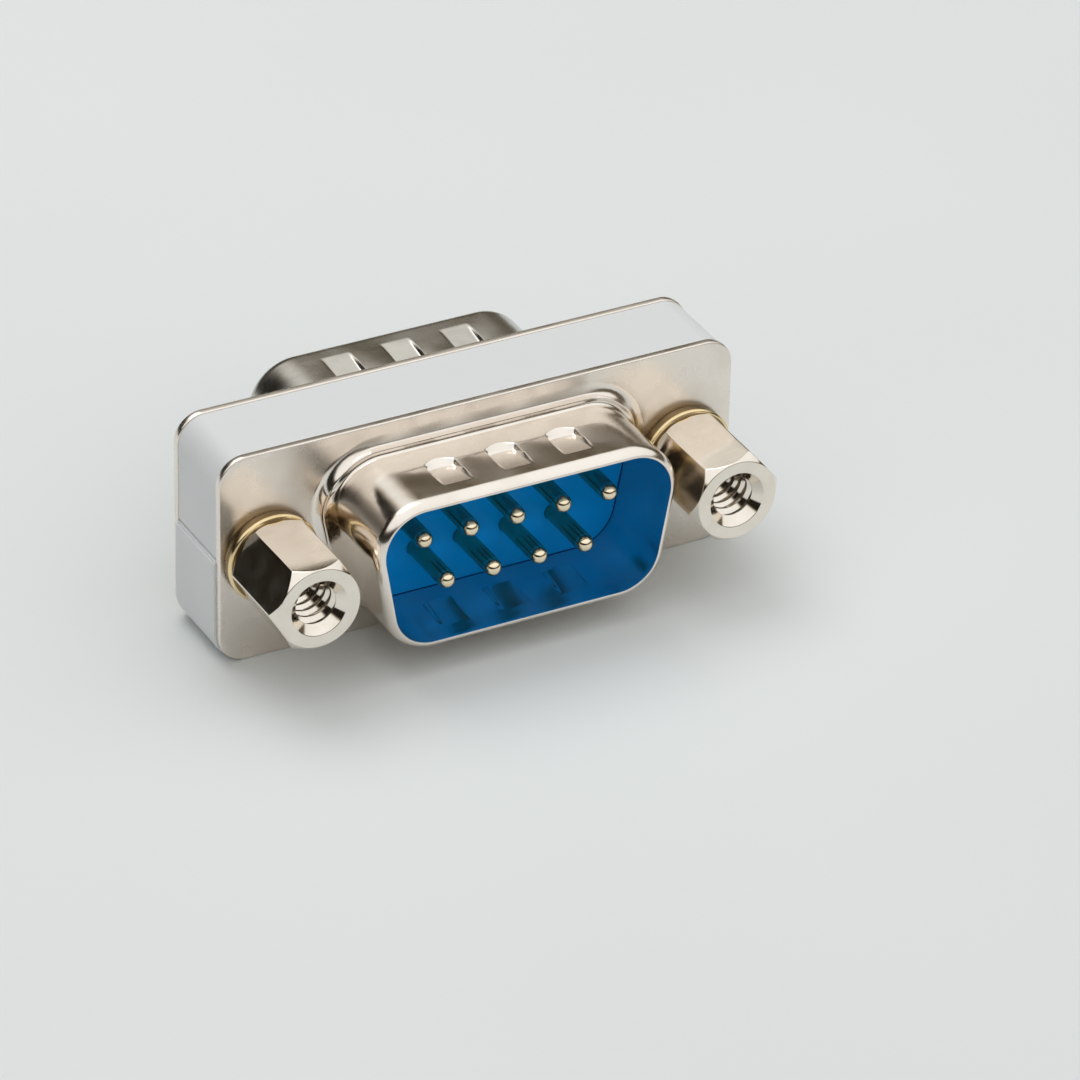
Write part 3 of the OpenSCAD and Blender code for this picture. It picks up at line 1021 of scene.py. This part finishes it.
@dataclass
class Standoff:
    """Hexagonal standoff with its tapped hole and stud."""

    side: int
    finishes: Finishes
    across_flats: float = 4.75
    foot: float = 0.7
    top: float = 6.15
    face_r: float = 2.34
    chamfer_degrees: float = 53.0
    corner_r: float = 0.12
    sink_r: float = 1.65
    crest_r: float = 1.14
    root_r: float = 1.42
    hole_depth: float = 4.6
    pitch: float = 0.635
    stud_r: float = 1.1
    stud_end: float = -2.8
    turn_degrees: float = 10.0
    dish: float = 0.02
    flat_points: int = 12

    def hexagon(self) -> list[Point]:
        """Outline of the hexagon, with a small round at each corner.

        The left one's corners point along x and the right one stops a little past that.
        """
        inner = self.across_flats / 2 - self.corner_r
        turned = self.turn_degrees if self.side > 0 else 0.0
        points = []
        for k in range(6):
            angle = math.radians(60 * k + turned)
            centre = Vector((math.cos(angle), math.sin(angle))) * inner / math.cos(math.radians(30))
            for i in range(5):
                a = angle + math.radians(-30 + 15 * i)
                points.append((centre.x + self.corner_r * math.cos(a), centre.y + self.corner_r * math.sin(a)))
            start = Vector(points[-1])
            following = angle + math.radians(60)
            ahead = Vector((math.cos(following), math.sin(following))) * inner / math.cos(math.radians(30))
            a = following - math.radians(30)
            end = ahead + self.corner_r * Vector((math.cos(a), math.sin(a)))
            points += [tuple(start.lerp(end, i / self.flat_points)) for i in range(1, self.flat_points)]
        return points

    def build(self) -> None:
        """Makes the standoff from rings that are bridged one to the next."""
        hexagon = [Vector(p) for p in self.hexagon()]
        slope = math.tan(math.radians(self.chamfer_degrees))

        def ring(radius: float, z: float) -> list[Vector]:
            return [(p.normalized() * radius).to_3d() + Vector((0, 0, z)) for p in hexagon]

        def hex_ring(end: float, way: int) -> list[Vector]:
            return [Vector((p.x, p.y, end + way * max(0.0, p.length - self.face_r) * slope)) for p in hexagon]

        floor = self.top - self.hole_depth
        neck = self.top - self.dish - (self.sink_r - self.crest_r)
        rings = [
            ring(self.stud_r - 0.2, self.stud_end),
            ring(self.stud_r, self.stud_end + 0.2),
            ring(self.stud_r, self.foot + self.dish),
            ring(self.face_r, self.foot),
            hex_ring(self.foot, 1),
            hex_ring(self.top, -1),
            ring(self.face_r, self.top),
            ring(self.sink_r, self.top - self.dish),
            ring(self.crest_r + 0.02, neck),
            ring(self.root_r, neck - 0.16),
            ring(self.root_r, floor),
            ring(0.3, floor - 0.35),
        ]
        bm = bmesh.new()
        loops = [only(bmesh.types.BMEdge, chain(bm, points, closed=True)) for points in rings]
        for below, above in zip(loops, loops[1:]):
            bmesh.ops.bridge_loops(bm, edges=below + above)
        for end in (loops[0], loops[-1]):
            bmesh.ops.contextual_create(bm, geom=end)
        ridge(bm, self.pitch, floor + 0.3, neck - 0.45, self.crest_r, self.root_r + 0.03, lambda z: self.crest_r)
        name = f"standoff_{'left' if self.side < 0 else 'right'}"
        Piece(
            f"{name}_hex", "nickel_standoff", [name], [self.finishes.standoff], sharp_degrees=25, bevel_mm=0.03
        ).publish(bm, BODY.placement(Facing.FRONT) @ Matrix.Translation((self.side * BODY.screw_x, 0, 0)))


@dataclass
class SpringWasher:
    """Split spring washer under a standoff."""

    side: int
    finishes: Finishes
    outer_r: float = 2.65
    inner_r: float = 1.475
    thickness: float = 0.7
    split_degrees: float = 11.0
    slant: float = 0.35
    round_r: float = 0.16
    steps: int = 96

    def build(self) -> None:
        """Spins the rounded section round the screw, open at the split below."""
        t, r = self.thickness, self.round_r
        section = [
            (x + r * math.cos(math.radians(a)), z + r * math.sin(math.radians(a)))
            for x, z, first in (
                (self.outer_r - r, r, -90),
                (self.outer_r - r, t - r, 0),
                (self.inner_r + r, t - r, 90),
                (self.inner_r + r, r, 180),
            )
            for a in range(first, first + 91, 22)
        ]
        bm = bmesh.new()
        start = chain(bm, [(x, 0, z) for x, z in section], closed=True)
        end = turn(bm, start, 360 - self.split_degrees, self.steps)
        for cap in (start, end):
            bmesh.ops.contextual_create(bm, geom=only(bmesh.types.BMEdge, cap))
        for v in bm.verts:
            swing = self.slant * (v.co.z / t - 0.5)
            v.co = Matrix.Rotation(math.radians(self.split_degrees / 2 - 90) + swing, 3, "Z") @ v.co
        # The rounded outer front edge takes the brighter steel, which paints a highlight along it.
        for face in bm.faces:
            middle = face.calc_center_median()
            painted_highlight = math.hypot(middle.x, middle.y) > self.outer_r - r and middle.z > t - r
            face.material_index = int(painted_highlight)
        name = f"spring_washer_{'left' if self.side < 0 else 'right'}"
        finishes = [self.finishes.washer, self.finishes.washer_edge]
        Piece(f"{name}_ring", "washer_steel", [name], finishes).publish(
            bm, BODY.placement(Facing.FRONT) @ Matrix.Translation((self.side * BODY.screw_x, 0, 0))
        )


@dataclass
class TappedSleeve:
    """Threaded sleeve between the flanges, its rim rolled over the rear one."""

    side: int
    finishes: Finishes
    outer_r: float = 2.2
    neck_r: float = 1.51
    crest_r: float = 1.14
    root_r: float = 1.42
    relief_r: float = 1.45
    relief: float = 0.5
    rim_r: float = 2.0
    rim: float = 0.25
    pitch: float = 0.635
    steps: int = 56

    def build(self) -> None:
        """Turns the sleeve and cuts its two threads."""
        depth = BODY.rear_face - BODY.front_face
        plate, r = BODY.plate, self.rim
        roll = [
            (self.rim_r - r + r * math.cos(math.radians(a)), r * math.sin(math.radians(a)))
            for a in range(0, 91, 15)
        ]
        back = -depth
        profile = [
            (self.neck_r, back + 0.03),
            (self.neck_r, back + plate),
            (self.outer_r, back + plate),
            (self.outer_r, -plate),
            (self.neck_r, -plate),
            (self.neck_r, 0.0),
            *roll,
            (self.root_r + 0.08, r - 0.01),
            (self.root_r + 0.02, r - 0.07),
            (self.root_r, 0.05),
            (self.root_r, back / 2 + self.relief / 2),
            (self.relief_r, back / 2 + self.relief / 2),
            (self.relief_r, back / 2 - self.relief / 2),
            (self.root_r, back / 2 - self.relief / 2),
            (self.root_r, back + 0.03),
        ]
        bm = bmesh.new()
        turn(bm, chain(bm, [(x, 0, z) for x, z in profile], closed=True), 360, self.steps)
        inside = (back / 2 + self.relief / 2, back + 0.03)
        for low, high in ((inside[0] + 0.3, -0.05), (inside[1] + 0.3, back / 2 - self.relief / 2 - 0.3)):
            ridge(bm, self.pitch, low, high, self.crest_r, self.root_r + 0.03, lambda z: self.crest_r + max(0.0, z) * 1.2)
        name = f"tapped_sleeve_{'left' if self.side < 0 else 'right'}"
        Piece(f"{name}_turned", "sleeve_metal", [name], [self.finishes.sleeve], bevel_mm=0.02).publish(
            bm, BODY.placement(Facing.REAR) @ Matrix.Translation((self.side * BODY.screw_x, 0, 0))
        )


@dataclass
class CircuitBoard:
    """The board inside, whose solid keeps its shape."""

    finishes: Finishes

    def build(self) -> None:
        """Gives the board its finish."""
        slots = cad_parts["circuit_board"].data.materials
        slots.clear()
        slots.append(self.finishes.board)


# ---------------------------------------------------------------- the studio


@dataclass
class Studio:
    """Paper floor, soft lamps, surroundings and camera. Sizes are in millimetres."""

    azimuth: float = 28.46
    elevation: float = 31.526
    roll: float = 1.276
    distance: float = 360.8
    aim: tuple[float, float, float] = (2.427, -5.23, 4.474)
    lens: float = 224.03
    floor_size: float = 3000.0

    def floor(self) -> None:
        """Lays the paper floor."""
        bm = bmesh.new()
        bmesh.ops.create_grid(bm, x_segments=1, y_segments=1, size=self.floor_size / 2 * MM)
        mesh = bpy.data.meshes.new("floor")
        bm.to_mesh(mesh)
        bm.free()
        mesh.materials.append(StudioPaper("studio_paper", "#e0e3e3").build())
        floor = bpy.data.objects.new("floor", mesh)
        bpy.context.scene.collection.objects.link(floor)

    def lamp(self, name: str, place: Sequence[float], size: float, watts: float) -> None:
        """Hangs a square soft lamp that points at the object.

        Args:
            name: the lamp's name.
            place: where it hangs.
            size: its side.
            watts: its power.
        """
        data = bpy.data.lights.new(name, "AREA")
        data.shape = "SQUARE"
        data.size = size * MM
        data.energy = watts
        lamp = bpy.data.objects.new(name, data)
        lamp.location = Vector(place) * MM
        lamp.rotation_mode = "QUATERNION"
        lamp.rotation_quaternion = (Vector((0, 0, 6 * MM)) - lamp.location).to_track_quat("-Z", "Y")
        bpy.context.scene.collection.objects.link(lamp)

    def surroundings(self) -> None:
        """Paints the room: bright above, dim low down behind the object on its left."""
        world = bpy.data.worlds.new("room")
        bpy.context.scene.world = world
        world.use_nodes = True
        tree = world.node_tree
        tree.nodes.clear()
        way = add(tree, "ShaderNodeTexCoord").outputs["Generated"]
        parts = add(tree, "ShaderNodeSeparateXYZ", {}, {0: way})
        height, depth, side = parts.outputs[2], parts.outputs[1], parts.outputs[0]
        behind = smooth_ramp(tree, depth, 0.0, 0.45)
        edge = add(tree, "ShaderNodeMapRange", {1: 0.0, 2: 1.0, 3: 0.3, 4: 0.6}, {0: behind}).outputs[0]
        left = add(tree, "ShaderNodeMapRange", {1: -0.1, 2: -0.6, 3: 0.0, 4: 0.12}, {0: side}).outputs[0]
        horizon = add(tree, "ShaderNodeMath", {"operation": "ADD"}, {0: edge, 1: left}).outputs[0]
        over = add(tree, "ShaderNodeMath", {"operation": "SUBTRACT"}, {0: height, 1: horizon}).outputs[0]
        lit = smooth_ramp(tree, over, -0.06, 0.07)
        gloom = add(tree, "ShaderNodeMapRange", {1: -0.3, 2: 0.4, 3: 0.015, 4: 0.12}, {0: side}).outputs[0]
        bright = add(tree, "ShaderNodeMapRange", {1: 0.3, 2: 0.9, 3: 1.0, 4: 1.13}, {0: height}).outputs[0]
        level = add(tree, "ShaderNodeMix", {"data_type": "FLOAT"}, {0: lit, 2: gloom, 3: bright}).outputs[0]
        hue = add(
            tree,
            "ShaderNodeMix",
            {"data_type": "RGBA", 6: linear("#f0dcb8"), 7: linear("#fafbfa")},
            {0: lit},
        )
        glow = add(tree, "ShaderNodeBackground", {}, {"Color": hue.outputs[2], "Strength": level})
        add(tree, "ShaderNodeOutputWorld", {}, {0: glow.outputs[0]})

    def camera(self) -> None:
        """Sets up the camera as the photograph was taken."""
        az, el = math.radians(self.azimuth), math.radians(self.elevation)
        back = Vector((-math.sin(az) * math.cos(el), -math.cos(az) * math.cos(el), math.sin(el)))
        data = bpy.data.cameras.new("camera")
        data.sensor_width = 36.0
        data.lens = self.lens
        data.clip_start, data.clip_end = 0.01, 10.0
        camera = bpy.data.objects.new("camera", data)
        camera.location = (Vector(self.aim) + back * self.distance) * MM
        camera.rotation_mode = "QUATERNION"
        camera.rotation_quaternion = (-back).to_track_quat("-Z", "Y") @ Quaternion(
            (0, 0, 1), math.radians(self.roll)
        )
        bpy.context.scene.collection.objects.link(camera)
        bpy.context.scene.camera = camera

    def build(self) -> None:
        """Sets up everything round the object."""
        bpy.context.scene.view_settings.view_transform = "Standard"
        self.floor()
        self.surroundings()
        self.lamp("overhead", (-50, 180, 420), 260, 0.43)
        self.camera()
        log.info("studio: floor, surroundings, lamps and camera")


def main() -> None:
    """Builds the studio and every sub-assembly in turn."""
    logging.basicConfig(level=logging.INFO, format="%(name)s: %(message)s")
    Studio().build()
    finishes = Finishes.make()
    for facing in Facing:
        PlugShell(facing, finishes).build()
        Insulator(facing, finishes).build()
        Contacts(facing, finishes).build()
    Housing(finishes).build()
    for side in (-1, 1):
        Standoff(side, finishes).build()
        SpringWasher(side, finishes).build()
        TappedSleeve(side, finishes).build()
    CircuitBoard(finishes).build()


if __name__ == "__main__":
    main()
